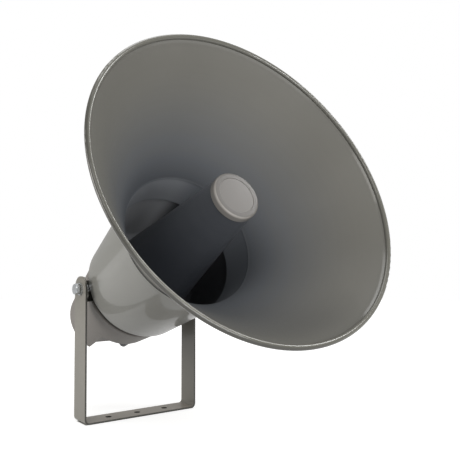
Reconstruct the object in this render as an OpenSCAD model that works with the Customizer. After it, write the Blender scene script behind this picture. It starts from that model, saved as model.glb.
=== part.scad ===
// Reflex horn loudspeaker on a U-shaped bracket, in millimetres.
// The origin is under the middle of the bracket's base, Z is up and the mouth faces -Y.
// The horn's own frame has Z along the horn's axis and starts at the pivot.

/* [Pose] */
// Angle of the horn's axis above level, in degrees
horn_tilt = 26.3; // [0:0.1:60]

/* [Flare] */
// Outside diameter of the rolled rim at the mouth
mouth_d = 506; // [480:1:540]
// Distance of the mouth plane ahead of the pivot
mouth_ahead = 378; // [350:1:420]
// Thickness of the flare's sheet
flare_t = 2; // [1.5:0.1:2.2]
// Diameter of the rolled bead round the mouth
bead_d = 8; // [6:0.5:10]

/* [Rear bell] */
// Outside diameter at the rear lip
bell_rear_d = 195.2; // [192:0.1:197]
// Outside diameter at the front edge
bell_front_d = 235.4; // [231:0.1:239]
// Distance of the bell's front edge ahead of the pivot
bell_front = 190; // [180:1:200]
// Thickness of the bell's wall
bell_t = 2.6; // [2:0.1:3]

/* [Reflector] */
// Outside diameter at the rear rim
reflector_rear_d = 145; // [136:1:150]
// Outside diameter at the front end
reflector_front_d = 75; // [72:0.5:77]
// Distance of the rear rim ahead of the pivot
reflector_rear = 46; // [42:1:60]
// Distance of the front end ahead of the pivot
reflector_front = 320; // [310:1:326]
// Thickness of the reflector's sheet
reflector_t = 1.8; // [1.2:0.1:2.2]
// Diameter of the front cap
cap_d = 77.2; // [76.5:0.1:80]
// Height of the front cap
cap_h = 11; // [9:0.5:14]

/* [Centre tube] */
// Inside diameter at the driver's end
tube_small_d = 26; // [22:0.5:28]
// Inside diameter at the open end
tube_large_d = 48; // [44:0.5:50]
// Distance of the open end ahead of the pivot
tube_end = 292; // [270:1:296]
// Wall thickness of the tube
tube_t = 2.2; // [1.8:0.1:2.4]

/* [Rear cover] */
// Outside diameter at the rear of the cover
cover_rear_d = 135.6; // [132:0.2:140]
// Distance of the cover's rear face behind the pivot
cover_back = 159.5; // [156:0.5:165]
// Thickness of the cover's wall
cover_t = 3; // [2.5:0.1:3.5]

/* [Bracket] */
// Space between the bell's rear lip and each leg
side_gap = 9.95; // [9.7:0.05:12]
// Width of the strap
strap_w = 43.5; // [38:0.5:48]
// Thickness of the strap
strap_t = 3.1; // [2.5:0.1:3.4]
// Height of the pivot above the base
pivot_h = 227; // [215:1:250]
// Distance between neighbouring fixing holes
hole_pitch = 56.2; // [48:0.2:62]
// Diameter of the fixing holes
hole_d = 11; // [9:0.5:13]
// Outside radius of the bends
bend_r = 9; // [6:0.5:12]

/* [Hidden] */

// Clearances
nest_gap = 0.15;
rivet_gap = 0.05;
thread_gap = 0.05;
hole_gap = 0.4;
bond_gap = 0.05;
pivot_gap = 0.06;
washer_gap = 0.2;

// Pivot stack, measured outwards along X
pivot_r = 5;
leg_in = bell_rear_d / 2 + side_gap;
leg_out = leg_in + strap_t;
bracket_w = 2 * leg_out;
friction_t = 1;
friction_r = 12;
ear_t = 3;
ear_out = leg_in - friction_t - washer_gap;
ear_in = ear_out - ear_t;
ear_half_w = 19.5;
ear_front = 13;
clinch_r = 7;
clinch_body_r = 6.3;
clinch_l = 5.45;
clinch_in = ear_in - clinch_l;
bolt_tip = clinch_in - 1.4;
washer_r = 10.5;
washer_t = 2;
spring_r = 8.7;
spring_t = 2.2;
head_af = 17;
head_h = 6.6;
flat_in = leg_out + washer_gap;
flat_out = flat_in + washer_t;
spring_out = flat_out + spring_t;

// Stack along the horn's axis, measured from the pivot
bell_back = 7;
bell_wall_in = bell_back + bell_t;
gasket_t = 0.8;
plate_t = 2.5;
plate_front = bell_back - gasket_t;
plate_back = plate_front - plate_t;
adaptor_back = -12;
strap_front = -9;
seal_t = 0.6;
top_front = adaptor_back - seal_t;
top_t = 8;
magnet_front = top_front - top_t;
magnet_t = 18;
back_front = magnet_front - magnet_t;
back_t = 7;
back_rear = back_front - back_t;
cover_face = adaptor_back - gasket_t;

// Radii
lip_r = 2.4;
plate_r = bell_rear_d / 2 - 2.6;
adaptor_r = plate_r - 9;
adaptor_hub_r = 62;
gasket_out_r = plate_r - 7;
gasket_in_r = 45;
spigot_r = 16.8;
tube_flange_r = 34;
tube_flange_t = 4;
tube_screw_r = 26;
screw_r = 2.5;
screw_head_r = 4.3;
screw_head_h = 3.2;
top_r = 58;
top_hole_r = 25.7;
magnet_r = 44;
magnet_hole_r = 29;
pole_r = 24.3;
driver_screw_r = 51.5;
coil_in_r = 24.65;
coil_out_r = 25.3;
dome_r = 24.65;
dome_rise = 7;
dome_t = 0.6;
diaphragm_r = 36;
cavity_r = 33;
strap_disc_r = 60;
strap_hole_r = 46;

// Flare outline
bell_rear_r = bell_rear_d / 2;
bell_front_r = bell_front_d / 2;
bell_slope = (bell_front_r - bell_rear_r) / (bell_front - bell_back - lip_r);
function bell_out(s) = bell_rear_r + bell_slope * (s - bell_back - lip_r);
function bell_in(s) = bell_out(s) - bell_t;
bell_fillet = 20;
bell_floor_r = bell_in(bell_wall_in + bell_fillet) - bell_fillet;
collar_l = 58;
collar_back = bell_front - collar_l;
function collar_out(s) = bell_in(s) - bond_gap;
function collar_in(s) = collar_out(s) - flare_t;
bead_r = bead_d / 2;
bead_ring_r = mouth_d / 2 - bead_r;
flare_l = mouth_ahead - bell_front;
flare_end_r = bead_ring_r - 1.5;
flare_start_r = collar_in(bell_front);
flare_k = 0.14;
flare_a = flare_end_r - flare_start_r - flare_k * flare_l;
flare_pow = 1.1;
flare_n = 30;
function flare_x(i) = flare_l * i / flare_n;
function flare_r(x) = flare_start_r + flare_k * x + flare_a * pow(x / flare_l, flare_pow);
function flare_slope(x) = flare_k + flare_a * flare_pow * pow(x / flare_l, flare_pow - 1) / flare_l;
function flare_dx(x) = flare_slope(x) / sqrt(1 + pow(flare_slope(x), 2));
function flare_dr(x) = 1 / sqrt(1 + pow(flare_slope(x), 2));
flare_inner = [for (i = [0:flare_n]) [flare_r(flare_x(i)), bell_front + flare_x(i)]];
flare_outer = [
  for (i = [flare_n:-1:1])
    [
      flare_r(flare_x(i)) + flare_t * flare_dr(flare_x(i)),
      bell_front + flare_x(i) - flare_t * flare_dx(flare_x(i))
    ]
];

// Reflector outline
refl_rear_r = reflector_rear_d / 2;
refl_front_r = reflector_front_d / 2;
refl_slope = (refl_front_r - refl_rear_r) / (reflector_front - reflector_rear);
function refl_out(s) = refl_rear_r + refl_slope * (s - reflector_rear);
function refl_in(s) = refl_out(s) - reflector_t;
refl_bead_r = 2.2;
cap_r = cap_d / 2;
cap_edge_r = 3.6;
cap_step = 0.9;
cap_disc_r = cap_r * 0.765;
cap_wall = 2.4;
cap_sleeve = 12;
cap_front = reflector_front + cap_h;

// Centre tube outline
tube_small_r = tube_small_d / 2;
tube_large_r = tube_large_d / 2;
tube_start = plate_back;

// Stays with their screws and rivets
stay_angles = [90, 210, 330];
stay_t = 3;
stay_web_w = 8;
stay_foot_t = 2;
stay_foot_w = 21;
stay_foot_deg = 12.5;
stay_edge = 9;
stay_tab_gap = 0.3;
stay_screw_deg = 6.5;
stay_screw_end = 0;
stay_tab_t = 1.8;
stay_tab_deg = 14;
stay_tab_back = reflector_rear + 8;
stay_tab_front = reflector_rear + 36;
stay_foot_out = bell_floor_r - 2;
stay_foot_in = stay_foot_out - stay_foot_w;
stay_screw_r = stay_foot_out - stay_edge;
sector_reach = bell_front_r + 20;
rivet_r = 1.6;
rivet_head_r = 3.2;
rivet_head_h = 1;
tab_rivet_deg = 9;
tab_rivet_s = [stay_tab_back + 7, stay_tab_front - 7];

// Cover outline, notch and fixings
cover_front_r = plate_r - 5;
cover_rear_r = cover_rear_d / 2;
cover_edge_r = 7;
cover_rim_r = 1.5;
cover_lip_r = adaptor_r - 7;
cover_lip_t = 3.2;
cover_slope = (cover_front_r - cover_rear_r) / (cover_back + cover_face);
function cover_out(s) = cover_rear_r + cover_slope * (cover_back + s);
notch_front = -75.5;
notch_roof = -44.4;
notch_roof_half = 29.7;
notch_open_half = 54.4;
notch_open_depth = -68;
notch_side_deg = atan2(notch_roof - notch_open_depth, notch_open_half - notch_roof_half);
notch_grow_top = tan(notch_side_deg / 2);
notch_grow_low = 1 / sin(notch_side_deg);
notch_reach = 2 * (cover_back + notch_front);
notch_drop = cover_rear_r - 9.5;
pillar_x = 36;
pillar_af = 10;
pillar_bore = 16;
boss_r = 11;
boss_t = 5;
recess_r = 6.8;
recess_depth = 5;
cover_screw_r = 3;
cover_screw_head_r = 5;
cover_screw_head_h = 3.4;
cover_screw_l = 20;
cover_seal_t = 0.8;
cover_seal_r = 6;
cover_screw_seat = -cover_back + recess_depth;
gland_edge = 10.5;
gland_u = gland_edge - cover_out(notch_front);
gland_hex_af = 18;
gland_hex_t = 6;
gland_nut_r = 9.3;
gland_nut_end_r = 8.5;
gland_nut_l = 15;
gland_thread_r = 6;
gland_thread_l = 11;
gland_bore_r = 4.2;
gland_seal_r = 4.1;
gland_seal_l = 12;
gland_seal_hole_r = 2.2;
locknut_af = 15;
locknut_t = 4;

// Line transformer
frame_t = 1.5;
frame_half_x = 14;
frame_half_u = 38;
frame_cheek_u = 24.2;
frame_cheek_l = 30;
frame_screw_u = 32.5;
frame_screw_r = 2;
frame_screw_head_r = 3.6;
core_x = 24;
core_u = 48;
core_s = 40;
limb_half = 8;
window_half = 16;
window_end = 8;
core_front = back_rear - frame_t;
coil_half_x = 19;
coil_gap = 0.2;
block_x = 22;
block_u = 30;
block_s = 11;

detail = 96;
small = 32;

// Colours
paint = "darkseagreen";
plastic = "lightgray";

module horn_pose() {
  translate([0, 0, pivot_h])
    rotate([90 - horn_tilt, 0, 0])
      children();
}

module both_sides() {
  for (side = [0, 1])
    translate([0, 0, pivot_h])
      rotate([0, 0, 180 * side])
        children();
}

module cross_cylinder(from_x, to_x, radius) {
  translate([from_x, 0, 0])
    rotate([0, 90, 0])
      cylinder(h = to_x - from_x, r = radius, $fn = small);
}

module u_outline() {
  difference() {
    union() {
      translate([-leg_out, bend_r])
        square([bracket_w, pivot_h + strap_w - bend_r]);
      translate([-leg_out + bend_r, 0])
        square([bracket_w - 2 * bend_r, bend_r + 1]);
      translate([-leg_out + bend_r, bend_r])
        circle(r = bend_r, $fn = small);
      translate([leg_out - bend_r, bend_r])
        circle(r = bend_r, $fn = small);
    }
    translate([-leg_in, bend_r])
      square([2 * leg_in, pivot_h + strap_w]);
    translate([-leg_out + bend_r, strap_t])
      square([bracket_w - 2 * bend_r, bend_r + 1]);
    translate([-leg_out + bend_r, bend_r])
      circle(r = bend_r - strap_t, $fn = small);
    translate([leg_out - bend_r, bend_r])
      circle(r = bend_r - strap_t, $fn = small);
  }
}

module leg_outline() {
  translate([-strap_w / 2, -1])
    square([strap_w, pivot_h + 1]);
  translate([0, pivot_h])
    circle(r = strap_w / 2, $fn = detail);
}

module u_bracket() {
  color(paint)
    difference() {
      intersection() {
        rotate([90, 0, 0])
          linear_extrude(height = strap_w, center = true)
            u_outline();
        rotate([90, 0, 90])
          linear_extrude(height = bracket_w + 2, center = true)
            leg_outline();
      }
      for (i = [-1, 0, 1])
        translate([i * hole_pitch, 0, -1])
          cylinder(h = strap_t + 2, d = hole_d, $fn = small);
      translate([0, 0, pivot_h])
        cross_cylinder(-leg_out - 1, leg_out + 1, pivot_r + pivot_gap);
    }
}

module friction_washers() {
  color("black")
    both_sides()
      difference() {
        cross_cylinder(leg_in - friction_t, leg_in, friction_r);
        cross_cylinder(leg_in - friction_t - 1, leg_in + 1, pivot_r + pivot_gap);
      }
}

module ear_outline() {
  ear_round = 8;
  translate([adaptor_back, -ear_half_w])
    square([ear_front - ear_round - adaptor_back, 2 * ear_half_w]);
  translate([adaptor_back, -ear_half_w + ear_round])
    square([ear_front - adaptor_back, 2 * (ear_half_w - ear_round)]);
  translate([ear_front - ear_round, ear_half_w - ear_round])
    circle(r = ear_round, $fn = small);
  translate([ear_front - ear_round, -ear_half_w + ear_round])
    circle(r = ear_round, $fn = small);
}

module ear_strap() {
  strap_l = strap_front - adaptor_back;
  color("dimgray")
    horn_pose()
      difference() {
        union() {
          translate([0, 0, adaptor_back])
            cylinder(h = strap_l, r = strap_disc_r, $fn = detail);
          translate([-ear_out, -ear_half_w, adaptor_back])
            cube([2 * ear_out, 2 * ear_half_w, strap_l]);
          for (side = [-1, 1])
            translate([side * (ear_out - ear_t / 2), 0, 0])
              rotate([0, -90, 0])
                linear_extrude(height = ear_t, center = true)
                  ear_outline();
        }
        translate([0, 0, adaptor_back - 1])
          cylinder(h = strap_l + 2, r = strap_hole_r, $fn = detail);
        for (a = [45:90:315])
          rotate([0, 0, a])
            translate([driver_screw_r, 0, adaptor_back - 1])
              cylinder(h = strap_l + 2, r = screw_r + hole_gap, $fn = small);
        cross_cylinder(ear_in - 1, ear_out + 1, clinch_body_r + thread_gap);
        cross_cylinder(-ear_out - 1, -ear_in + 1, clinch_body_r + thread_gap);
      }
}

module clinch_nuts() {
  color("gainsboro")
    both_sides()
      difference() {
        union() {
          cross_cylinder(clinch_in, ear_in, clinch_r);
          cross_cylinder(clinch_in, ear_out, clinch_body_r);
        }
        cross_cylinder(clinch_in - 1, ear_out + 1, pivot_r + thread_gap);
      }
}

module pivot_bolts() {
  color("silver")
    both_sides()
      union() {
        cross_cylinder(bolt_tip, spring_out + 1, pivot_r);
        intersection() {
          translate([spring_out, 0, 0])
            rotate([0, 90, 0])
              cylinder(h = head_h, d = head_af / cos(30), $fn = 6);
          translate([spring_out, 0, 0])
            rotate([0, 90, 0])
              cylinder(h = head_h, r1 = head_af * 0.68, r2 = head_af * 0.5, $fn = small);
        }
      }
}

module flat_washers() {
  color("silver")
    both_sides()
      difference() {
        cross_cylinder(flat_in, flat_out, washer_r);
        cross_cylinder(flat_in - 1, flat_out + 1, pivot_r + thread_gap);
      }
}

module spring_washers() {
  color("gray")
    both_sides()
      difference() {
        cross_cylinder(flat_out, spring_out, spring_r);
        cross_cylinder(flat_out - 1, spring_out + 1, pivot_r + thread_gap);
        translate([flat_out - 1, -0.8, pivot_r - 1])
          cube([spring_t + 2, 1.6, spring_r]);
      }
}

bell_points = concat(
  [[spigot_r + nest_gap, bell_back], [bell_rear_r - lip_r, bell_back]],
  [
    for (a = [-75:15:0])
      [bell_rear_r - lip_r + lip_r * cos(a), bell_back + lip_r + lip_r * sin(a)]
  ],
  [[bell_front_r, bell_front], [bell_in(bell_front), bell_front]],
  [
    for (a = [0:-10:-90])
      [bell_floor_r + bell_fillet * cos(a), bell_wall_in + bell_fillet + bell_fillet * sin(a)]
  ],
  [[spigot_r + nest_gap, bell_wall_in]]
);

module rear_bell() {
  color(plastic)
    horn_pose()
      difference() {
        rotate_extrude($fn = detail)
          polygon(bell_points);
        for (a = [45:90:315])
          rotate([0, 0, a])
            translate([tube_screw_r, 0, bell_back - 1])
              cylinder(h = bell_t + 2, r = screw_r + hole_gap, $fn = small);
        stay_screw_bores(bell_back - 1, bell_wall_in + 1, screw_r + hole_gap);
      }
}

module stay_screw_bores(back, front, radius) {
  for (a = stay_angles)
    for (b = [-stay_screw_deg, stay_screw_deg])
      rotate([0, 0, a + b])
        translate([stay_screw_r, 0, back])
          cylinder(h = front - back, r = radius, $fn = small);
}

module outer_flare() {
  color(paint)
    horn_pose()
      union() {
        rotate_extrude($fn = detail)
          polygon(concat(
            [[collar_in(collar_back), collar_back]],
            flare_inner,
            flare_outer,
            [[collar_out(bell_front), bell_front], [collar_out(collar_back), collar_back]]
          ));
        rotate_extrude($fn = detail)
          translate([bead_ring_r, mouth_ahead])
            circle(r = bead_r, $fn = small);
      }
}

module reflector() {
  color("slategray")
    horn_pose()
      difference() {
        union() {
          rotate_extrude($fn = detail)
            polygon([
              [refl_in(reflector_rear), reflector_rear],
              [refl_out(reflector_rear), reflector_rear],
              [refl_out(reflector_front), reflector_front],
              [refl_in(reflector_front), reflector_front]
            ]);
          rotate_extrude($fn = detail)
            translate([refl_rear_r - reflector_t / 2, reflector_rear])
              circle(r = refl_bead_r, $fn = small);
        }
        tab_bores(rivet_r + rivet_gap);
      }
}

module tab_bores(radius) {
  for (a = stay_angles)
    for (s = tab_rivet_s)
      for (b = [-tab_rivet_deg, tab_rivet_deg])
        rotate([0, 0, a + b])
          translate([refl_in(s) - 6, 0, s])
            rotate([0, 90, 0])
              cylinder(h = 16, r = radius, $fn = small);
}

cap_points = concat(
  [[0, cap_front - cap_step], [cap_disc_r - 0.8, cap_front - cap_step]],
  [[cap_disc_r, cap_front]],
  [
    for (a = [90:-15:0])
      [cap_r - cap_edge_r + cap_edge_r * cos(a), cap_front - cap_edge_r + cap_edge_r * sin(a)]
  ],
  [[cap_r, reflector_front], [refl_in(reflector_front) - nest_gap, reflector_front]],
  [
    [refl_in(reflector_front) - nest_gap, reflector_front - cap_sleeve],
    [refl_in(reflector_front) - nest_gap - cap_wall, reflector_front - cap_sleeve],
    [refl_in(reflector_front) - nest_gap - cap_wall, cap_front - cap_wall - cap_edge_r],
    [refl_in(reflector_front) - nest_gap - cap_wall - 4, cap_front - cap_wall - 1],
    [0, cap_front - cap_wall - 1]
  ]
);

module reflector_cap() {
  color("linen")
    horn_pose()
      rotate_extrude($fn = detail)
        polygon(cap_points);
}

module centre_tube() {
  color("gray")
    horn_pose()
      difference() {
        rotate_extrude($fn = detail)
          polygon([
            [tube_small_r, tube_start],
            [spigot_r, tube_start],
            [spigot_r, bell_wall_in],
            [tube_flange_r, bell_wall_in],
            [tube_flange_r, bell_wall_in + tube_flange_t],
            [tube_screw_r - screw_head_r - 1, bell_wall_in + tube_flange_t],
            [tube_small_r + tube_t + 2, bell_wall_in + tube_flange_t + 4],
            [tube_small_r + tube_t + 0.8, bell_wall_in + 30],
            [tube_large_r + tube_t, tube_end],
            [tube_large_r, tube_end],
            [tube_small_r, bell_wall_in]
          ]);
        for (a = [45:90:315])
          rotate([0, 0, a])
            translate([tube_screw_r, 0, bell_wall_in - 1])
              cylinder(h = tube_flange_t + 5, r = screw_r + hole_gap, $fn = small);
      }
}

module sector(deg, back, front, reach) {
  translate([0, 0, back])
    linear_extrude(height = front - back)
      polygon([
        [0, 0],
        [reach, -reach * tan(deg)],
        [reach, reach * tan(deg)]
      ]);
}

module stay() {
  web_out = refl_in(stay_tab_back) - stay_tab_gap - 1;
  web_tip = refl_in(stay_tab_front) - stay_tab_gap - 1;
  intersection() {
    rotate_extrude($fn = detail)
      translate([stay_foot_in, bell_wall_in])
        square([stay_foot_out - stay_foot_in, stay_foot_t]);
    sector(stay_foot_deg, bell_wall_in - 1, bell_wall_in + stay_foot_t + 1, sector_reach);
  }
  intersection() {
    rotate_extrude($fn = detail)
      polygon([
        [refl_in(stay_tab_back) - stay_tab_gap - stay_tab_t, stay_tab_back],
        [refl_in(stay_tab_back) - stay_tab_gap, stay_tab_back],
        [refl_in(stay_tab_front) - stay_tab_gap, stay_tab_front],
        [refl_in(stay_tab_front) - stay_tab_gap - stay_tab_t, stay_tab_front]
      ]);
    sector(stay_tab_deg, stay_tab_back - 1, stay_tab_front + 1, sector_reach);
  }
  translate([0, stay_t / 2, 0])
    rotate([90, 0, 0])
      linear_extrude(height = stay_t)
        polygon([
          [stay_foot_in, bell_wall_in],
          [stay_foot_out - stay_edge + 2, bell_wall_in],
          [web_out, stay_tab_back],
          [web_tip, stay_tab_front],
          [web_tip - stay_web_w, stay_tab_front]
        ]);
}

module reflector_stays() {
  color("slategray")
    horn_pose()
      difference() {
        for (a = stay_angles)
          rotate([0, 0, a])
            stay();
        stay_screw_bores(bell_wall_in - 1, bell_wall_in + stay_foot_t + 1, screw_r + hole_gap);
        tab_bores(rivet_r + rivet_gap);
      }
}

module stay_screws() {
  head_back = bell_wall_in + stay_foot_t;
  color("silver")
    horn_pose()
      for (a = stay_angles)
        for (b = [-stay_screw_deg, stay_screw_deg])
          rotate([0, 0, a + b])
            translate([stay_screw_r, 0, 0]) {
              translate([0, 0, stay_screw_end])
                cylinder(h = head_back - stay_screw_end + 0.5, r = screw_r, $fn = small);
              translate([0, 0, head_back])
                cylinder(h = screw_head_h, r = screw_head_r, $fn = small);
            }
}

module rivet(from_r, to_r) {
  translate([from_r - rivet_head_h, 0, 0])
    rotate([0, 90, 0])
      cylinder(h = rivet_head_h, r1 = rivet_head_r * 0.7, r2 = rivet_head_r, $fn = small);
  translate([from_r - 0.1, 0, 0])
    rotate([0, 90, 0])
      cylinder(h = to_r - from_r + 0.2, r = rivet_r, $fn = small);
  translate([to_r, 0, 0])
    rotate([0, 90, 0])
      cylinder(h = rivet_head_h, r1 = rivet_head_r, r2 = rivet_head_r * 0.7, $fn = small);
}

module reflector_rivets() {
  color("silver")
    horn_pose()
      for (a = stay_angles)
        for (s = tab_rivet_s)
          for (b = [-tab_rivet_deg, tab_rivet_deg])
            rotate([0, 0, a + b])
              translate([0, 0, s])
                rivet(
                  refl_in(s + rivet_head_r) - stay_tab_gap - stay_tab_t - 0.1,
                  refl_out(s - rivet_head_r) + 0.1
                );
}

module tube_screws() {
  head_back = bell_wall_in + tube_flange_t;
  color("silver")
    horn_pose()
      for (a = [45:90:315])
        rotate([0, 0, a])
          translate([tube_screw_r, 0, 0]) {
            translate([0, 0, plate_back - 8])
              cylinder(h = head_back - plate_back + 8.5, r = screw_r, $fn = small);
            translate([0, 0, head_back + 1.2])
              cylinder(h = screw_head_h, r = screw_head_r, $fn = small);
            translate([0, 0, head_back])
              cylinder(h = 1.3, r = screw_head_r - 0.6, $fn = small);
          }
}

module support_plate() {
  color("dimgray")
    horn_pose()
      difference() {
        translate([0, 0, plate_back])
          cylinder(h = plate_t, r = plate_r, $fn = detail);
        translate([0, 0, plate_back - 1])
          cylinder(h = plate_t + 2, r = spigot_r + nest_gap, $fn = small);
        for (a = [45:90:315])
          rotate([0, 0, a])
            translate([tube_screw_r, 0, plate_back - 1])
              cylinder(h = plate_t + 2, r = screw_r + hole_gap, $fn = small);
        stay_screw_bores(plate_back - 1, plate_front + 1, screw_r + hole_gap);
      }
}

module bell_gasket() {
  color("black")
    horn_pose()
      difference() {
        translate([0, 0, plate_front])
          cylinder(h = gasket_t, r = gasket_out_r, $fn = detail);
        translate([0, 0, plate_front - 1])
          cylinder(h = gasket_t + 2, r = gasket_in_r, $fn = detail);
        stay_screw_bores(plate_front - 1, bell_back + 1, screw_r + hole_gap);
      }
}

module driver_adaptor() {
  rib_t = 4;
  web_back = -1;
  color("dimgray")
    horn_pose()
      difference() {
        translate([0, 0, adaptor_back])
          cylinder(h = plate_back - adaptor_back, r = adaptor_r, $fn = detail);
        difference() {
          translate([0, 0, adaptor_back - 1])
            cylinder(h = web_back - adaptor_back + 1, r = adaptor_r - rib_t * 1.6, $fn = detail);
          translate([0, 0, adaptor_back - 2])
            cylinder(h = web_back - adaptor_back + 4, r = adaptor_hub_r, $fn = detail);
        }
        translate([0, 0, adaptor_back - 1])
          cylinder(h = strap_front - adaptor_back + 1, r = strap_disc_r + nest_gap, $fn = detail);
        translate([-adaptor_r - 1, -ear_half_w - nest_gap, adaptor_back - 1])
          cube([2 * adaptor_r + 2, 2 * (ear_half_w + nest_gap), strap_front - adaptor_back + 1]);
        adaptor_throat();
        stay_screw_bores(web_back - 1, plate_back + 1, screw_r + thread_gap);
        for (a = [45:90:315])
          rotate([0, 0, a]) {
            translate([tube_screw_r, 0, plate_back - 9])
              cylinder(h = 10, r = screw_r + thread_gap, $fn = small);
            translate([driver_screw_r, 0, adaptor_back - 1])
              cylinder(h = 12, r = screw_r + thread_gap, $fn = small);
          }
      }
  color("dimgray")
    horn_pose()
      difference() {
        translate([0, 0, adaptor_back])
          cylinder(h = strap_front - adaptor_back, r = strap_hole_r - 2, $fn = detail);
        adaptor_throat();
      }
}

module adaptor_throat() {
  translate([0, 0, adaptor_back - 1])
    cylinder(h = 2.5, r = cavity_r, $fn = detail);
  translate([0, 0, adaptor_back + 1.4])
    cylinder(h = 9, r1 = cavity_r - 1, r2 = tube_small_r, $fn = detail);
  translate([0, 0, adaptor_back + 10])
    cylinder(h = 8, r = tube_small_r, $fn = detail);
}

module driver_gasket() {
  color("black")
    horn_pose()
      difference() {
        translate([0, 0, top_front])
          cylinder(h = seal_t, r = top_r, $fn = detail);
        translate([0, 0, top_front - 1])
          cylinder(h = seal_t + 2, r = diaphragm_r + nest_gap, $fn = detail);
        driver_screw_bores(screw_r + hole_gap);
      }
}

module driver_screw_bores(radius) {
  for (a = [45:90:315])
    rotate([0, 0, a])
      translate([driver_screw_r, 0, magnet_front - 1])
        cylinder(h = top_t + seal_t + 2, r = radius, $fn = small);
}

module driver_top_plate() {
  color("silver")
    horn_pose()
      difference() {
        translate([0, 0, magnet_front])
          cylinder(h = top_t, r = top_r, $fn = detail);
        translate([0, 0, magnet_front - 1])
          cylinder(h = top_t + 2, r = top_hole_r, $fn = detail);
        driver_screw_bores(screw_r + hole_gap);
      }
}

module driver_magnet() {
  color("black")
    horn_pose()
      difference() {
        translate([0, 0, back_front])
          cylinder(h = magnet_t, r = magnet_r, $fn = detail);
        translate([0, 0, back_front - 1])
          cylinder(h = magnet_t + 2, r = magnet_hole_r, $fn = detail);
      }
}

module driver_pole() {
  color("silver")
    horn_pose()
      difference() {
        union() {
          translate([0, 0, back_rear])
            cylinder(h = back_t, r = magnet_r, $fn = detail);
          translate([0, 0, back_rear])
            cylinder(h = top_front - 0.8 - back_rear, r = pole_r, $fn = detail);
        }
        for (side = [-1, 1]) {
          translate([side * pillar_x, 0, back_rear - 1])
            cylinder(h = back_t, r = cover_screw_r + thread_gap, $fn = small);
          translate([0, side * frame_screw_u, back_rear - 1])
            cylinder(h = back_t, r = frame_screw_r + thread_gap, $fn = small);
        }
      }
}

module driver_screws() {
  color("silver")
    horn_pose()
      for (a = [45:90:315])
        rotate([0, 0, a])
          translate([driver_screw_r, 0, 0]) {
            translate([0, 0, magnet_front - 0.5])
              cylinder(h = adaptor_back + 9 - magnet_front, r = screw_r, $fn = small);
            translate([0, 0, magnet_front - screw_head_h])
              cylinder(h = screw_head_h, r = screw_head_r, $fn = small);
          }
}

dome_ball_r = (dome_r * dome_r + dome_rise * dome_rise) / (2 * dome_rise);
dome_half_deg = asin(dome_r / dome_ball_r);
dome_centre = adaptor_back + dome_rise - dome_ball_r;
dome_points = concat(
  [
    for (i = [0:8])
      [
        dome_ball_r * sin(dome_half_deg * i / 8),
        dome_centre + dome_ball_r * cos(dome_half_deg * i / 8)
      ]
  ],
  [[diaphragm_r, adaptor_back], [diaphragm_r, top_front], [dome_r, top_front]],
  [
    for (i = [7:-1:0])
      [
        (dome_ball_r - dome_t) * sin(dome_half_deg * i / 8),
        dome_centre + (dome_ball_r - dome_t) * cos(dome_half_deg * i / 8)
      ]
  ]
);

module diaphragm() {
  color("peru")
    horn_pose()
      rotate_extrude($fn = detail)
        polygon(dome_points);
}

module voice_coil() {
  color("chocolate")
    horn_pose()
      difference() {
        translate([0, 0, top_front - top_t])
          cylinder(h = top_t, r = coil_out_r, $fn = detail);
        translate([0, 0, top_front - top_t - 1])
          cylinder(h = top_t + 2, r = coil_in_r, $fn = detail);
      }
}

module transformer_frame() {
  color("silver")
    horn_pose()
      difference() {
        union() {
          translate([-frame_half_x, -frame_half_u, back_rear - frame_t])
            cube([2 * frame_half_x, 2 * frame_half_u, frame_t]);
          for (side = [-1, 1])
            translate([
              -frame_half_x,
              side * (frame_cheek_u + frame_t / 2) - frame_t / 2,
              back_rear - frame_t - frame_cheek_l
            ])
              cube([2 * frame_half_x, frame_t, frame_cheek_l + 0.5]);
        }
        for (side = [-1, 1])
          translate([0, side * frame_screw_u, back_rear - frame_t - 1])
            cylinder(h = frame_t + 2, r = frame_screw_r + hole_gap, $fn = small);
      }
}

module transformer_core() {
  color("gray")
    horn_pose()
      difference() {
        translate([-core_x / 2, -core_u / 2, core_front - core_s])
          cube([core_x, core_u, core_s]);
        for (side = [0, 1])
          mirror([0, side, 0])
            translate([-core_x / 2 - 1, limb_half, core_front - core_s + window_end])
              cube([core_x + 2, window_half - limb_half, core_s - 2 * window_end]);
      }
}

module transformer_coil() {
  coil_l = core_s - 2 * window_end - 2 * coil_gap;
  color("goldenrod")
    horn_pose()
      translate([0, 0, core_front - core_s + window_end + coil_gap])
        difference() {
          translate([-coil_half_x, -window_half + coil_gap, 0])
            cube([2 * coil_half_x, 2 * (window_half - coil_gap), coil_l]);
          translate([-core_x / 2 - coil_gap, -limb_half - coil_gap, -1])
            cube([core_x + 2 * coil_gap, 2 * (limb_half + coil_gap), coil_l + 2]);
        }
}

module frame_screws() {
  color("silver")
    horn_pose()
      for (side = [-1, 1])
        translate([0, side * frame_screw_u, 0]) {
          translate([0, 0, core_front - 0.5])
            cylinder(h = frame_t + 5, r = frame_screw_r, $fn = small);
          translate([0, 0, core_front - 2.6])
            cylinder(h = 2.6, r = frame_screw_head_r, $fn = small);
        }
}

module terminal_block() {
  color("black")
    horn_pose()
      translate([0, 0, core_front - core_s - block_s])
        difference() {
          translate([-block_x / 2, -block_u / 2, 0])
            cube([block_x, block_u, block_s]);
          for (i = [-1, 0, 1]) {
            translate([-block_x / 4, i * block_u / 3, -1])
              cylinder(h = 6, r = 2.6, $fn = small);
            translate([0, i * block_u / 3, 5.5])
              rotate([0, 90, 0])
                cylinder(h = block_x, r = 1.8, $fn = small);
          }
        }
}

module terminal_screws() {
  color("silver")
    horn_pose()
      translate([0, 0, core_front - core_s - block_s])
        for (i = [-1, 0, 1])
          translate([-block_x / 4, i * block_u / 3, 1.5])
            cylinder(h = 3.5, r = 2.4, $fn = small);
}

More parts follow.
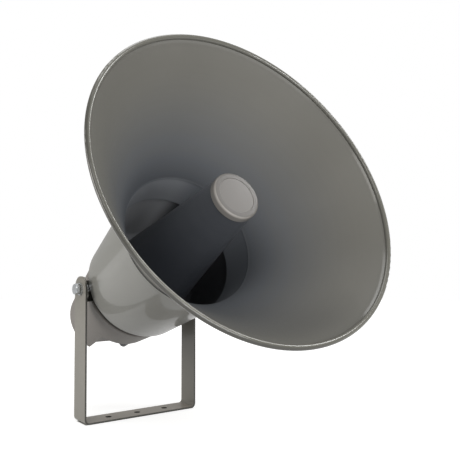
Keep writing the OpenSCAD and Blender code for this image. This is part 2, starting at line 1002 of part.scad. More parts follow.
module cover_pillars() {
  pillar_end = cover_screw_seat + boss_t;
  color("silver")
    horn_pose()
      for (side = [-1, 1])
        translate([side * pillar_x, 0, 0])
          difference() {
            union() {
              translate([0, 0, pillar_end])
                cylinder(h = back_rear - pillar_end, d = pillar_af / cos(30), $fn = 6);
              translate([0, 0, back_rear - 1])
                cylinder(h = back_t - 1, r = cover_screw_r, $fn = small);
            }
            translate([0, 0, pillar_end - 1])
              cylinder(h = pillar_bore + 1, r = cover_screw_r + thread_gap, $fn = small);
          }
}

module notch(grow) {
  top_half = notch_roof_half + grow * notch_grow_top;
  low_half = notch_open_half + grow * notch_grow_low;
  translate([0, 0, notch_front - notch_reach + grow])
    linear_extrude(height = notch_reach)
      polygon([
        [-top_half, notch_roof + grow],
        [top_half, notch_roof + grow],
        [low_half, notch_open_depth],
        [low_half, notch_open_depth - notch_drop],
        [-low_half, notch_open_depth - notch_drop],
        [-low_half, notch_open_depth]
      ]);
}

cover_points = concat(
  [[0, -cover_back], [cover_rear_r - cover_edge_r, -cover_back]],
  [
    for (a = [-75:15:-15])
      [
        cover_rear_r - cover_edge_r + cover_edge_r * cos(a),
        cover_edge_r - cover_back + cover_edge_r * sin(a)
      ]
  ],
  [
    [cover_out(cover_edge_r - cover_back), cover_edge_r - cover_back],
    [cover_front_r, cover_face - cover_rim_r],
    [cover_front_r - cover_rim_r, cover_face],
    [0, cover_face]
  ]
);
cover_space = [
  [0, cover_t - cover_back],
  [cover_rear_r - cover_edge_r, cover_t - cover_back],
  [cover_rear_r - cover_t - 2, cover_t - cover_back + 2],
  [cover_out(cover_edge_r - cover_back) - cover_t, cover_edge_r - cover_back],
  [cover_front_r - cover_t, cover_face - cover_lip_t],
  [cover_lip_r, cover_face - cover_lip_t],
  [cover_lip_r, cover_face + 1],
  [0, cover_face + 1]
];

module rear_cover() {
  color(plastic)
    horn_pose()
      difference() {
        union() {
          difference() {
            difference() {
              rotate_extrude($fn = detail)
                polygon(cover_points);
              notch(0);
            }
            difference() {
              rotate_extrude($fn = detail)
                polygon(cover_space);
              notch(cover_t);
            }
          }
          for (side = [-1, 1])
            translate([side * pillar_x, 0, 1 - cover_back])
              cylinder(h = recess_depth + boss_t - 1, r = boss_r, $fn = small);
        }
        for (side = [-1, 1])
          translate([side * pillar_x, 0, 0]) {
            translate([0, 0, -cover_back - 1])
              cylinder(h = recess_depth + 1, r = recess_r, $fn = small);
            translate([0, 0, -cover_back])
              cylinder(h = recess_depth + boss_t + 5, r = cover_screw_r + hole_gap, $fn = small);
          }
        translate([0, gland_u, notch_front - 1])
          cylinder(h = cover_t + 2, r = gland_thread_r + nest_gap, $fn = small);
      }
}

module cover_gasket() {
  color("black")
    horn_pose()
      translate([0, 0, cover_face])
        difference() {
          cylinder(h = gasket_t, r = adaptor_r - 0.3, $fn = detail);
          translate([0, 0, -1])
            cylinder(h = gasket_t + 2, r = cover_lip_r + 0.5, $fn = detail);
        }
}

module cover_screws() {
  head_front = cover_screw_seat - cover_seal_t;
  color("silver")
    horn_pose()
      for (side = [-1, 1])
        translate([side * pillar_x, 0, 0])
          difference() {
            union() {
              translate([0, 0, head_front - 0.5])
                cylinder(h = cover_screw_l, r = cover_screw_r, $fn = small);
              translate([0, 0, head_front - cover_screw_head_h])
                cylinder(h = cover_screw_head_h, r = cover_screw_head_r, $fn = small);
            }
            translate([0, 0, head_front - cover_screw_head_h - 1])
              cylinder(h = 3, d = 5.6, $fn = 6);
          }
}

module cover_seals() {
  color("black")
    horn_pose()
      for (side = [-1, 1])
        translate([side * pillar_x, 0, cover_screw_seat - cover_seal_t])
          difference() {
            cylinder(h = cover_seal_t, r = cover_seal_r, $fn = small);
            translate([0, 0, -1])
              cylinder(h = cover_seal_t + 2, r = cover_screw_r + thread_gap, $fn = small);
          }
}

module cable_gland() {
  color("gray")
    horn_pose()
      translate([0, gland_u, notch_front])
        difference() {
          union() {
            translate([0, 0, -gland_hex_t])
              cylinder(h = gland_hex_t, d = gland_hex_af / cos(30), $fn = 6);
            translate([0, 0, -gland_hex_t - gland_nut_l])
              cylinder(h = gland_nut_l + 1, r1 = gland_nut_end_r, r2 = gland_nut_r, $fn = small);
            translate([0, 0, -1])
              cylinder(h = gland_thread_l + 1, r = gland_thread_r, $fn = small);
          }
          translate([0, 0, -gland_hex_t - gland_nut_l - 1])
            cylinder(h = gland_hex_t + gland_nut_l + gland_thread_l + 3, r = gland_bore_r, $fn = small);
        }
}

module gland_locknut() {
  color("gray")
    horn_pose()
      translate([0, gland_u, notch_front + cover_t])
        difference() {
          cylinder(h = locknut_t, d = locknut_af / cos(30), $fn = 6);
          translate([0, 0, -1])
            cylinder(h = locknut_t + 2, r = gland_thread_r + thread_gap, $fn = small);
        }
}

module gland_seal() {
  color("black")
    horn_pose()
      translate([0, gland_u, notch_front - gland_hex_t - gland_nut_l + 1])
        difference() {
          cylinder(h = gland_seal_l, r = gland_seal_r, $fn = small);
          translate([0, 0, -1])
            cylinder(h = gland_seal_l + 2, r = gland_seal_hole_r, $fn = small);
        }
}

u_bracket();
friction_washers();
ear_strap();
clinch_nuts();
pivot_bolts();
flat_washers();
spring_washers();
rear_bell();
outer_flare();
reflector();
reflector_cap();
centre_tube();
reflector_stays();
stay_screws();
reflector_rivets();
tube_screws();
support_plate();
bell_gasket();
driver_adaptor();
driver_gasket();
driver_top_plate();
driver_magnet();
driver_pole();
driver_screws();
diaphragm();
voice_coil();
transformer_frame();
transformer_core();
transformer_coil();
frame_screws();
terminal_block();
terminal_screws();
cover_pillars();
rear_cover();
cover_gasket();
cover_screws();
cover_seals();
cable_gland();
gland_locknut();
gland_seal();
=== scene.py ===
import math

import bpy
import bmesh
from mathutils import Matrix, Vector

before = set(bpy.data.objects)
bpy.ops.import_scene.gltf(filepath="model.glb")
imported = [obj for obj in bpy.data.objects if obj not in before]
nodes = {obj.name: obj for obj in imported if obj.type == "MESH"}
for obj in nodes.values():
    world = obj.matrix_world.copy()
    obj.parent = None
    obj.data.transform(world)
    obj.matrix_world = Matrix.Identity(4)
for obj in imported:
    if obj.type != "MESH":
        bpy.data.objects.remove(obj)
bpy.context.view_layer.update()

# Horn's own frame: x across, up, and along its axis from the pivot to the mouth
PIVOT_H = 0.227
TILT = math.radians(26.3)
HORN_TURN = math.radians(90) - TILT

# Directions across the horn's axis, as the camera sees them
LOW_SIDE = (-0.342, -0.94)
LEFT_SIDE = (-0.8, -0.6)

# Flare: front face, radii of the rolled rim, and the ring just inside it that shines
MOUTH_S = 0.378
BEAD_INNER = 0.2455
BEAD_OUTER = 0.2505
RIM_GLOSS = 0.2432

# Flare: where its painted shade and painted light inside change, from and to in metres
THROAT_S = (0.19, 0.355)
THROAT_EDGE_SHADE_S = (0.14, 0.25)
THROAT_EDGE_SHADE_UP = (-0.125, -0.06)
LEFT_LIGHT_S = (0.19, 0.22)
LEFT_LIGHT_X = (-0.02, -0.06)
COLLAR_S = (0.184, 0.194)
COLLAR_X = (0.01, 0.06)
COLLAR_PAINTED_LIGHT = (0.31, 0.325, 0.35)
LOW_REACH = (0.07, 0.185)
LOW_S = (0.33, 0.376)
LEFT_REACH = (0.05, 0.16)

# Inside of the bell: its radius at the floor, how fast it opens, and where its lighter and darker sides,
# painted light and painted shade, meet
BELL_FLOOR_S = 0.0094
BELL_FLOOR_R = 0.0963
BELL_OPENING = 0.1113
BELL_WALL_BLUR = 0.0004
BELL_DARK_X = (0.01, 0.045)

# Reflector: where the painted light on its front and top begins
REFLECTOR_UP = (-0.03, 0.05)
REFLECTOR_S = (0.15, 0.325)

# Steps of the reflector's cap
CAP_RING_OUT = 0.0352
CAP_RING_IN = 0.0303

# Bracket: inner face of its right leg, its base's footprint and the holes in the base, where shade is
# painted
RIGHT_LEG_X = (0.09, 0.105)
STRAP_INNER = 0.1076
BASE_HALF_X = 0.108
BASE_HALF_Y = 0.02
BASE_TOP = 0.01
BASE_HOLE_X = 0.0562
BASE_HOLE_R = 0.0056

# Transformer: sheets and turns of wire, per metre and in radians per metre
SHEETS_PER_M = 1800.0
WIRE_WAVE = 9000.0

MIDDLE = (0.3, 0.7)
IOR = 1.5


# Node graph helpers
class Graph:
    def __init__(self, name):
        self.mat = bpy.data.materials.new(name)
        self.mat.use_nodes = True
        self.tree = self.mat.node_tree
        self.tree.nodes.clear()
        self.out = self.tree.nodes.new("ShaderNodeOutputMaterial")

    def node(self, kind, **values):
        n = self.tree.nodes.new(kind)
        for key, value in values.items():
            setattr(n, key, value)
        return n

    def plug(self, value, socket):
        if isinstance(value, tuple):
            socket.default_value = (*value, 1)
        elif isinstance(value, (int, float)):
            socket.default_value = value
        else:
            self.tree.links.new(value, socket)

    def math(self, op, a, b=None):
        n = self.node("ShaderNodeMath", operation=op)
        self.plug(a, n.inputs[0])
        if b is not None:
            self.plug(b, n.inputs[1])
        return n.outputs[0]

    def both(self, a, b):
        return self.math("MULTIPLY", a, b)

    def dot(self, a, b):
        return self.math("ADD", self.both(a[0], b[0]), self.both(a[1], b[1]))

    def spread(self, value, reach, low, high):
        n = self.node("ShaderNodeMapRange", interpolation_type="SMOOTHSTEP")
        self.plug(value, n.inputs["Value"])
        n.inputs["From Min"].default_value = reach[0]
        n.inputs["From Max"].default_value = reach[1]
        n.inputs["To Min"].default_value = low
        n.inputs["To Max"].default_value = high
        return n.outputs["Result"]

    def rise(self, value, reach):
        return self.spread(value, reach, 0.0, 1.0)

    def fade(self, value, reach):
        return self.spread(value, reach, 1.0, 0.0)

    def mix(self, factor, a, b):
        n = self.node("ShaderNodeMix", data_type="RGBA")
        self.plug(factor, n.inputs[0])
        self.plug(a, n.inputs[6])
        self.plug(b, n.inputs[7])
        return n.outputs[2]

    def mottle(self, noise, color, amount):
        return self.mix(self.rise(noise, MIDDLE), shade(color, 1 - amount), shade(color, 1 + amount))

    def split(self, vec):
        n = self.node("ShaderNodeSeparateXYZ")
        self.plug(vec, n.inputs[0])
        return n.outputs[0], n.outputs[1], n.outputs[2]

    def horn_turned(self, vec, origin):
        n = self.node("ShaderNodeMapping", vector_type="TEXTURE")
        n.inputs["Location"].default_value = origin
        n.inputs["Rotation"].default_value = (HORN_TURN, 0, 0)
        self.plug(vec, n.inputs["Vector"])
        return n.outputs["Vector"]

    def place(self):
        return self.node("ShaderNodeTexCoord").outputs["Object"]

    def horn_place(self):
        return self.horn_turned(self.place(), (0, 0, PIVOT_H))

    def radius(self, x, up):
        return self.math("SQRT", self.dot((x, up), (x, up)))

    def facing_axis(self, x, up):
        normal = self.node("ShaderNodeTexCoord").outputs["Normal"]
        facing = self.split(self.horn_turned(normal, (0, 0, 0)))
        return self.math("LESS_THAN", self.dot(facing, (x, up)), 0.0)

    def scaled(self, vec, scale):
        n = self.node("ShaderNodeMapping")
        n.inputs["Scale"].default_value = scale
        self.plug(vec, n.inputs["Vector"])
        return n.outputs["Vector"]

    def noise(self, at, scale, detail, rough, line=False):
        n = self.node("ShaderNodeTexNoise", noise_dimensions="1D" if line else "3D")
        self.plug(at, n.inputs["W" if line else "Vector"])
        n.inputs["Scale"].default_value = scale
        n.inputs["Detail"].default_value = detail
        n.inputs["Roughness"].default_value = rough
        return n.outputs["Fac"]

    def bump(self, height, strength, distance, normal=None):
        n = self.node("ShaderNodeBump")
        n.inputs["Strength"].default_value = strength
        n.inputs["Distance"].default_value = distance
        self.plug(height, n.inputs["Height"])
        if normal is not None:
            self.plug(normal, n.inputs["Normal"])
        return n.outputs["Normal"]

    def surface(self, color, rough, normal, metallic=0.0, coat=0.0, coat_rough=0.1, spec=0.5):
        n = self.node("ShaderNodeBsdfPrincipled")
        self.plug(color, n.inputs["Base Color"])
        self.plug(rough, n.inputs["Roughness"])
        self.plug(normal, n.inputs["Normal"])
        self.plug(metallic, n.inputs["Metallic"])
        self.plug(coat, n.inputs["Coat Weight"])
        self.plug(coat_rough, n.inputs["Coat Roughness"])
        self.plug(spec, n.inputs["Specular IOR Level"])
        self.plug(IOR, n.inputs["IOR"])
        self.plug(n.outputs[0], self.out.inputs["Surface"])
        return self.mat


def shade(color, k):
    return tuple(min(1.0, c * k) for c in color)


def step(edge, before, after):
    return edge - before, edge + after


# Materials
def painted_flare(name, color, painted_shade_tone, rim):
    g = Graph(name)
    vec = g.horn_place()
    x, up, along = g.split(vec)
    radius = g.radius(x, up)
    inner = g.facing_axis(x, up)
    blotch = g.noise(vec, scale=7.0, detail=4.0, rough=0.55)
    fine = g.noise(vec, scale=420.0, detail=3.0, rough=0.6)
    rings = g.noise(radius, scale=95.0, detail=2.0, rough=0.5, line=True)
    peel = g.noise(vec, scale=240.0, detail=2.0, rough=0.5)

    # Painted shade darkens the inside towards the throat, darkest on its right; painted light keeps the
    # collar's inside lighter on the left
    tone = g.mottle(blotch, color, 0.03)
    tone = g.mix(g.both(g.fade(along, THROAT_S), inner), tone, painted_shade_tone)
    tone = g.mix(g.spread(rings, MIDDLE, 0.0, 0.14), tone, shade(color, 0.85))
    # Painted shade at the throat's edge, except on its lower side
    throat_edge_shade = g.both(g.spread(along, THROAT_EDGE_SHADE_S, 0.85, 0.0), g.rise(up, THROAT_EDGE_SHADE_UP))
    tone = g.mix(g.both(throat_edge_shade, inner), tone, shade(painted_shade_tone, 0.32))
    # Painted light: the throat's left kept lighter than its edge
    left_light = g.both(g.rise(x, LEFT_LIGHT_X), g.fade(along, LEFT_LIGHT_S))
    tone = g.mix(g.both(left_light, inner), tone, shade(painted_shade_tone, 0.75))
    # Painted light on the collar's inside on the left, painted shade on its right
    collar = g.both(g.fade(along, COLLAR_S), inner)
    tone = g.mix(collar, tone, g.mix(g.rise(x, COLLAR_X), COLLAR_PAINTED_LIGHT, shade(painted_shade_tone, 1.15)))
    # Painted shade on the lower side of the inside, fading towards the mouth
    low = g.spread(g.dot((x, up), LOW_SIDE), LOW_REACH, 0.0, 0.34)
    low = g.both(low, g.spread(along, LOW_S, 1.0, 0.35))
    tone = g.mix(g.both(low, inner), tone, shade(painted_shade_tone, 0.45))

    # Rolled rim: painted shade, the bead darker than the flare and its outer left darker still
    lip = g.both(g.rise(radius, step(BEAD_INNER, 0.0012, 0.0006)),
                 g.rise(along, (MOUTH_S - 0.0035, MOUTH_S - 0.001)))
    tone = g.mix(lip, tone, rim)
    outer = g.rise(radius, step(BEAD_OUTER, 0.001, 0.0005))
    left = g.rise(g.dot((x, up), LEFT_SIDE), LEFT_REACH)
    tone = g.mix(g.both(outer, left), tone, shade(rim, 0.5))

    normal = g.bump(rings, strength=0.03, distance=0.0006)
    normal = g.bump(peel, strength=0.02, distance=0.0004, normal=normal)
    edge = g.rise(radius, step(RIM_GLOSS, 0.001, 0.001))
    rough = g.math("SUBTRACT", g.spread(fine, MIDDLE, 0.50, 0.56), g.both(edge, 0.30))
    shine = g.math("ADD", g.both(edge, 0.85), 0.04)
    return g.surface(tone, rough, normal, coat=shine, coat_rough=0.11, spec=0.3)


def glossy_bell(name, color, dark, painted_light_side):
    g = Graph(name)
    vec = g.horn_place()
    x, up, along = g.split(vec)
    wall = g.both(g.math("SUBTRACT", along, BELL_FLOOR_S), BELL_OPENING)
    wall = g.math("ADD", wall, BELL_FLOOR_R)
    outside = g.rise(g.math("SUBTRACT", g.radius(x, up), wall), step(0.0, BELL_WALL_BLUR, BELL_WALL_BLUR))
    blotch = g.noise(vec, scale=6.0, detail=3.0, rough=0.5)
    streak = g.noise(g.scaled(vec, (1, 1, 0.25)), scale=14.0, detail=2.0, rough=0.4)
    wave = g.noise(vec, scale=16.0, detail=1.0, rough=0.4)
    tone = g.mottle(blotch, color, 0.04)
    tone = g.mix(g.spread(streak, (0.35, 0.65), 0.0, 0.5), tone, shade(color, 0.80))
    # Painted shade inside the bell on its right, painted light on its left
    tone = g.mix(outside, g.mix(g.rise(x, BELL_DARK_X), painted_light_side, dark), tone)
    normal = g.bump(wave, strength=0.05, distance=0.004)
    return g.surface(tone, 0.34, normal, coat=g.both(outside, 0.7), coat_rough=0.04)


def painted_reflector(name, color, light):
    g = Graph(name)
    vec = g.horn_place()
    _, up, along = g.split(vec)
    blotch = g.noise(vec, scale=14.0, detail=4.0, rough=0.6)
    fine = g.noise(vec, scale=600.0, detail=3.0, rough=0.6)
    rings = g.noise(along, scale=60.0, detail=2.0, rough=0.5, line=True)
    peel = g.noise(vec, scale=340.0, detail=2.0, rough=0.5)
    tone = g.mottle(blotch, color, 0.05)
    # Painted light on the reflector's front and top
    painted_lit = g.both(g.spread(up, REFLECTOR_UP, 0.55, 1.0), g.rise(along, REFLECTOR_S))
    tone = g.mix(painted_lit, tone, light)
    tone = g.mix(g.spread(rings, (0.35, 0.7), 0.0, 0.06), tone, shade(color, 0.7))
    normal = g.bump(peel, strength=0.05, distance=0.0004)
    return g.surface(tone, g.spread(fine, MIDDLE, 0.38, 0.48), normal, coat=0.2, coat_rough=0.25)


def satin_cap(name, color):
    g = Graph(name)
    vec = g.horn_place()
    x, up, _ = g.split(vec)
    radius = g.radius(x, up)
    blotch = g.noise(vec, scale=9.0, detail=3.0, rough=0.5)
    fine = g.noise(vec, scale=500.0, detail=3.0, rough=0.55)
    tone = g.mottle(blotch, color, 0.03)
    ring = g.both(g.rise(radius, step(CAP_RING_IN, 0.0006, 0.0)),
                  g.fade(radius, step(CAP_RING_OUT, 0.0, 0.001)))
    tone = g.mix(g.both(ring, 0.7), tone, shade(color, 0.72))
    # Painted highlight on the cap's lower-left side
    side = g.both(g.rise(radius, step(CAP_RING_OUT, 0.0, 0.002)),
                  g.rise(g.dot((x, up), LEFT_SIDE), (0.0, 0.03)))
    tone = g.mix(side, tone, shade(color, 2.1))
    normal = g.bump(fine, strength=0.06, distance=0.0003)
    return g.surface(tone, g.spread(fine, MIDDLE, 0.31, 0.42), normal, coat=0.5, coat_rough=0.15)


def painted_strap(name, color, edge, top):
    g = Graph(name)
    vec = g.place()
    x, y, z = g.split(vec)
    _, facing_y, facing_z = g.split(g.node("ShaderNodeNewGeometry").outputs["True Normal"])
    blotch = g.noise(vec, scale=14.0, detail=4.0, rough=0.6)
    fine = g.noise(vec, scale=600.0, detail=3.0, rough=0.6)
    peel = g.noise(vec, scale=420.0, detail=2.0, rough=0.5)
    tone = g.mottle(blotch, color, 0.05)
    tone = g.mix(g.spread(fine, (0.62, 0.75), 0.0, 0.12), tone, shade(color, 0.6))

    # Painted shade on the right leg's inner face, painted light on faces that look up, and painted shade
    # on the cut edges
    inner = g.both(g.rise(x, RIGHT_LEG_X), g.fade(x, step(STRAP_INNER, 0.0, 0.001)))
    tone = g.mix(g.both(inner, 0.8), tone, shade(color, 0.62))
    tone = g.mix(g.spread(facing_z, (0.9, 0.98), 0.0, 0.8), tone, top)
    tone = g.mix(g.rise(g.math("ABSOLUTE", facing_y), (0.8, 0.95)), tone, edge)

    # Painted shade in the insides of the three holes in the base
    centre = g.math("ABSOLUTE", x)
    outer = g.math("ABSOLUTE", g.math("SUBTRACT", centre, BASE_HOLE_X))
    hole = g.math("LESS_THAN", g.radius(g.math("MINIMUM", centre, outer), y), BASE_HOLE_R)
    hole = g.both(hole, g.math("LESS_THAN", z, BASE_TOP))
    tone = g.mix(hole, tone, shade(edge, 0.3))
    normal = g.bump(peel, strength=0.06, distance=0.0004)
    return g.surface(tone, g.spread(fine, MIDDLE, 0.29, 0.41), normal, coat=0.3, coat_rough=0.12)


def moulded(name, color, rough=0.5, grain=520.0):
    g = Graph(name)
    vec = g.horn_place()
    blotch = g.noise(vec, scale=7.0, detail=3.0, rough=0.5)
    flow = g.noise(g.scaled(vec, (1, 1, 0.18)), scale=26.0, detail=4.0, rough=0.6)
    fine = g.noise(vec, scale=grain, detail=3.0, rough=0.55)
    tone = g.mottle(blotch, color, 0.04)
    tone = g.mix(g.spread(flow, (0.45, 0.7), 0.0, 0.10), tone, shade(color, 0.82))
    normal = g.bump(fine, strength=0.12, distance=0.0003)
    return g.surface(tone, g.spread(fine, MIDDLE, rough - 0.05, rough + 0.06), normal)


def bare_metal(name, color, rough):
    g = Graph(name)
    vec = g.place()
    lines = g.noise(g.scaled(vec, (1, 1, 14)), scale=160.0, detail=4.0, rough=0.6)
    spots = g.noise(vec, scale=70.0, detail=5.0, rough=0.65)
    tone = g.mix(g.spread(spots, (0.35, 0.7), 0.0, 0.4), color, shade(color, 0.62))
    normal = g.bump(lines, strength=0.08, distance=0.0002)
    return g.surface(tone, g.spread(lines, MIDDLE, rough - 0.07, rough + 0.10), normal, metallic=1.0)


def rubbery(name, color):
    g = Graph(name)
    vec = g.place()
    fine = g.noise(vec, scale=700.0, detail=3.0, rough=0.6)
    dust = g.noise(vec, scale=40.0, detail=4.0, rough=0.6)
    tone = g.mix(g.spread(dust, (0.4, 0.75), 0.0, 0.35), color, shade(color, 1.8))
    normal = g.bump(fine, strength=0.15, distance=0.0003)
    return g.surface(tone, g.spread(fine, MIDDLE, 0.69, 0.81), normal)


def cast_metal(name, color, rough=0.55):
    g = Graph(name)
    vec = g.place()
    grain = g.noise(vec, scale=330.0, detail=4.0, rough=0.65)
    dark = g.noise(vec, scale=30.0, detail=4.0, rough=0.6)
    tone = g.mix(g.spread(dark, (0.35, 0.7), 0.0, 0.6), color, shade(color, 0.6))
    normal = g.bump(grain, strength=0.3, distance=0.0005)
    return g.surface(tone, g.spread(grain, MIDDLE, rough - 0.1, rough + 0.1), normal, metallic=0.3)


def stacked_sheets(name, color, rust):
    g = Graph(name)
    vec = g.horn_place()
    x, _, _ = g.split(vec)
    sheets = g.math("FRACT", g.both(x, SHEETS_PER_M))
    spots = g.noise(vec, scale=60.0, detail=4.0, rough=0.6)
    tone = g.mix(g.spread(spots, (0.45, 0.7), 0.0, 0.5), color, rust)
    tone = g.mix(g.fade(sheets, (0.0, 0.25)), tone, shade(color, 0.3))
    normal = g.bump(sheets, strength=0.4, distance=0.0003)
    return g.surface(tone, 0.45, normal, metallic=0.7)


def wound_wire(name, color):
    g = Graph(name)
    vec = g.horn_place()
    _, _, along = g.split(vec)
    turns = g.math("SINE", g.both(along, WIRE_WAVE))
    shift = g.noise(vec, scale=90.0, detail=3.0, rough=0.6)
    tone = g.mix(g.fade(turns, (-1.0, 0.2)), color, shade(color, 0.45))
    tone = g.mix(g.spread(shift, (0.4, 0.7), 0.0, 0.4), tone, shade(color, 1.4))
    normal = g.bump(turns, strength=0.5, distance=0.0003)
    return g.surface(tone, 0.35, normal, metallic=0.5, coat=0.4)


FLARE = painted_flare("flare_paint", color=(0.170, 0.166, 0.149), painted_shade_tone=(0.122, 0.132, 0.148),
                      rim=(0.135, 0.132, 0.113))
REFLECTOR = painted_reflector("reflector_paint", color=(0.037, 0.041, 0.050),
                              light=(0.115, 0.123, 0.140))
BELL = glossy_bell("bell_gloss", color=(0.275, 0.275, 0.255), dark=(0.030, 0.031, 0.035),
                   painted_light_side=(0.37, 0.38, 0.40))
COVER = moulded("cover_texture", (0.230, 0.214, 0.200), rough=0.48, grain=760.0)
CAP = satin_cap("cap_satin", (0.152, 0.143, 0.134))
TUBE = moulded("tube_moulded", (0.070, 0.070, 0.072))
BRACKET = painted_strap("bracket_paint", color=(0.240, 0.228, 0.198), edge=(0.052, 0.051, 0.044),
                        top=(0.35, 0.315, 0.28))
ZINC = bare_metal("bright_zinc", (0.72, 0.75, 0.78), rough=0.24)
DARK_STEEL = bare_metal("dark_steel", (0.21, 0.21, 0.19), rough=0.42)
PLATE_STEEL = bare_metal("plate_steel", (0.30, 0.30, 0.30), rough=0.38)
CASTING = cast_metal("dark_casting", (0.045, 0.045, 0.047))
FERRITE = cast_metal("ferrite", (0.03, 0.03, 0.032), rough=0.7)
CORE = stacked_sheets("core_sheets", (0.30, 0.30, 0.31), rust=(0.12, 0.07, 0.04))
COPPER = wound_wire("wound_wire", (0.45, 0.17, 0.06))
FILM = moulded("moulded_film", (0.30, 0.13, 0.05), rough=0.35)
BLACK = moulded("black_plastic", (0.016, 0.016, 0.017), rough=0.45)
GLAND = moulded("gland_plastic", (0.075, 0.077, 0.08), rough=0.4)
RUBBER = rubbery("black_rubber", (0.014, 0.014, 0.015))

PIECES_OF = (
    (FLARE, "outer_flare"),
    (REFLECTOR, "reflector reflector_stays reflector_rivets"),
    (BELL, "rear_bell"),
    (COVER, "rear_cover"),
    (CAP, "reflector_cap"),
    (TUBE, "centre_tube"),
    (BRACKET, "u_bracket"),
    (ZINC, "clinch_nuts pivot_bolts flat_washers stay_screws tube_screws driver_top_plate"
           " driver_pole driver_screws transformer_frame frame_screws terminal_screws"
           " cover_pillars cover_screws"),
    (DARK_STEEL, "ear_strap spring_washers"),
    (PLATE_STEEL, "support_plate"),
    (CASTING, "driver_adaptor"),
    (FERRITE, "driver_magnet"),
    (CORE, "transformer_core"),
    (COPPER, "voice_coil transformer_coil"),
    (FILM, "diaphragm"),
    (BLACK, "terminal_block"),
    (GLAND, "cable_gland gland_locknut"),
    (RUBBER, "friction_washers bell_gasket driver_gasket cover_gasket cover_seals gland_seal"),
)
LOOK = {name: mat for mat, names in PIECES_OF for name in names.split()}
for name, obj in nodes.items():
    obj.data.materials.clear()
    obj.data.materials.append(LOOK[name])


# Floor: white for the camera, grey for light, seen through from below, with painted shade under the base
FLOOR_RADIUS = 3.0
FLOOR_DROP = 0.0004
FLOOR_SHADE = (0.25, 1.5)
FLOOR_IN_GLOSS = 0.5
FLOOR_MATTE = (0.5, 0.5, 0.5)
WHITE = (1.0, 1.0, 1.0)


def floor_material():
    g = Graph("studio_floor")
    vec = g.place()
    x, y, _ = g.split(vec)
    length = g.node("ShaderNodeVectorMath", operation="LENGTH")
    g.plug(vec, length.inputs[0])
    glow = g.spread(length.outputs["Value"], FLOOR_SHADE, 0.72, 1.0)
    # Painted shade: no glow under the base's footprint, seen through its holes
    off_x = g.rise(g.math("ABSOLUTE", x), step(BASE_HALF_X, 0.001, 0.0))
    off_y = g.rise(g.math("ABSOLUTE", y), step(BASE_HALF_Y, 0.001, 0.0))
    glow = g.both(glow, g.math("MAXIMUM", off_x, off_y))
    path = g.node("ShaderNodeLightPath")
    seen = g.math("MAXIMUM", path.outputs["Is Camera Ray"], path.outputs["Is Transmission Ray"])
    seen = g.math("MAXIMUM", seen, g.both(path.outputs["Is Glossy Ray"], FLOOR_IN_GLOSS))
    light = g.node("ShaderNodeEmission")
    g.plug(WHITE, light.inputs["Color"])
    g.plug(g.both(glow, seen), light.inputs["Strength"])
    matte = g.node("ShaderNodeBsdfDiffuse")
    g.plug(FLOOR_MATTE, matte.inputs["Color"])
    add = g.node("ShaderNodeAddShader")
    g.plug(light.outputs[0], add.inputs[0])
    g.plug(matte.outputs[0], add.inputs[1])
    clear = g.node("ShaderNodeBsdfTransparent")
    swap = g.node("ShaderNodeMixShader")
    g.plug(g.node("ShaderNodeNewGeometry").outputs["Backfacing"], swap.inputs[0])
    g.plug(add.outputs[0], swap.inputs[1])
    g.plug(clear.outputs[0], swap.inputs[2])
    g.plug(swap.outputs[0], g.out.inputs["Surface"])
    return g.mat


scene = bpy.context.scene
bm = bmesh.new()
bmesh.ops.create_circle(bm, cap_ends=True, segments=96, radius=FLOOR_RADIUS)
floor_mesh = bpy.data.meshes.new("studio_floor")
bm.to_mesh(floor_mesh)
bm.free()
floor_mesh.materials.append(floor_material())
floor = bpy.data.objects.new("studio_floor", floor_mesh)
scene.collection.objects.link(floor)
floor.location = (0, 0, -FLOOR_DROP)

# World: white for the camera, soft grey for light and reflections
SOFT_COLOR = (1.0, 0.99, 0.96)
SOFT_STRENGTH = 0.42

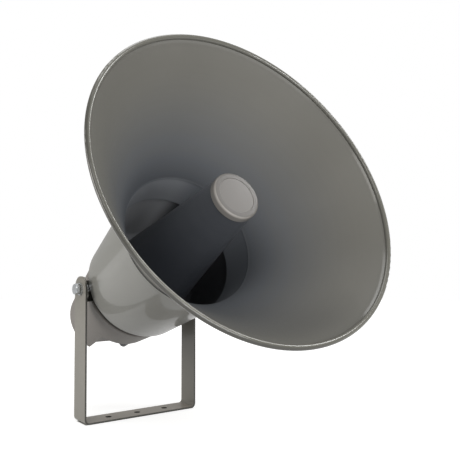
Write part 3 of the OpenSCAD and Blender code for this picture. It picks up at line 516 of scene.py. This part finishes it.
world = bpy.data.worlds.new("studio")
scene.world = world
world.use_nodes = True
tree = world.node_tree
tree.nodes.clear()
world_out = tree.nodes.new("ShaderNodeOutputWorld")
swap = tree.nodes.new("ShaderNodeMixShader")
path = tree.nodes.new("ShaderNodeLightPath")
tree.links.new(path.outputs["Is Camera Ray"], swap.inputs[0])
for socket, color, strength in ((1, SOFT_COLOR, SOFT_STRENGTH), (2, WHITE, 1.0)):
    sky = tree.nodes.new("ShaderNodeBackground")
    sky.inputs["Color"].default_value = (*color, 1)
    sky.inputs["Strength"].default_value = strength
    tree.links.new(sky.outputs[0], swap.inputs[socket])
tree.links.new(swap.outputs[0], world_out.inputs["Surface"])


# Lights: place, aim, width, power and, where given, colour and height
def area_light(name, at, to, size, power, color=WHITE, size_y=None):
    data = bpy.data.lights.new(name, "AREA")
    data.energy = power
    data.color = color
    data.size = size
    if size_y:
        data.shape = "RECTANGLE"
        data.size_y = size_y
    obj = bpy.data.objects.new(name, data)
    scene.collection.objects.link(obj)
    obj.location = at
    obj.rotation_euler = (Vector(to) - Vector(at)).to_track_quat("-Z", "Y").to_euler()


area_light("key", (-1.6, -1.5, 1.7), (0, -0.1, 0.25), 1.2, 9, color=(1.0, 0.98, 0.95))
area_light("top", (0.1, 0.2, 2.2), (0, -0.1, 0.3), 1.3, 9)
area_light("front", (-0.5, -2.6, 1.0), (0, -0.2, 0.33), 0.9, 12)
area_light("strip", (0.15, -2.75, 0.42), (0.12, -0.24, 0.45), 1.3, 24, size_y=0.3)
area_light("edge", (1.7, -1.0, 1.95), (0.15, -0.3, 0.45), 0.5, 8)
area_light("side", (-2.2, 0.6, 0.7), (-0.1, 0.05, 0.2), 1.2, 20, color=(1.0, 0.97, 0.93))

# Camera fitted to the photograph: focal length and width in pixels, place, aim and roll
FOCAL_PX = 673.0
PHOTO_PX = 460
SENSOR_MM = 36
CAMERA_AT = Vector((-0.5901, -1.0762, 0.2938))
CAMERA_AIM = Vector((0.20702, 0.0, 0.3336))
CAMERA_ROLL = math.radians(0.05)

camera_data = bpy.data.cameras.new("camera")
camera_data.sensor_width = SENSOR_MM
camera_data.lens = FOCAL_PX / PHOTO_PX * SENSOR_MM
camera_data.clip_start = 0.01
camera = bpy.data.objects.new("camera", camera_data)
scene.collection.objects.link(camera)
camera.location = CAMERA_AT
turn = (CAMERA_AIM - CAMERA_AT).to_track_quat("-Z", "Y").to_matrix()
camera.rotation_euler = (turn @ Matrix.Rotation(CAMERA_ROLL, 3, "Z")).to_euler()
scene.camera = camera

scene.view_settings.view_transform = "Standard"
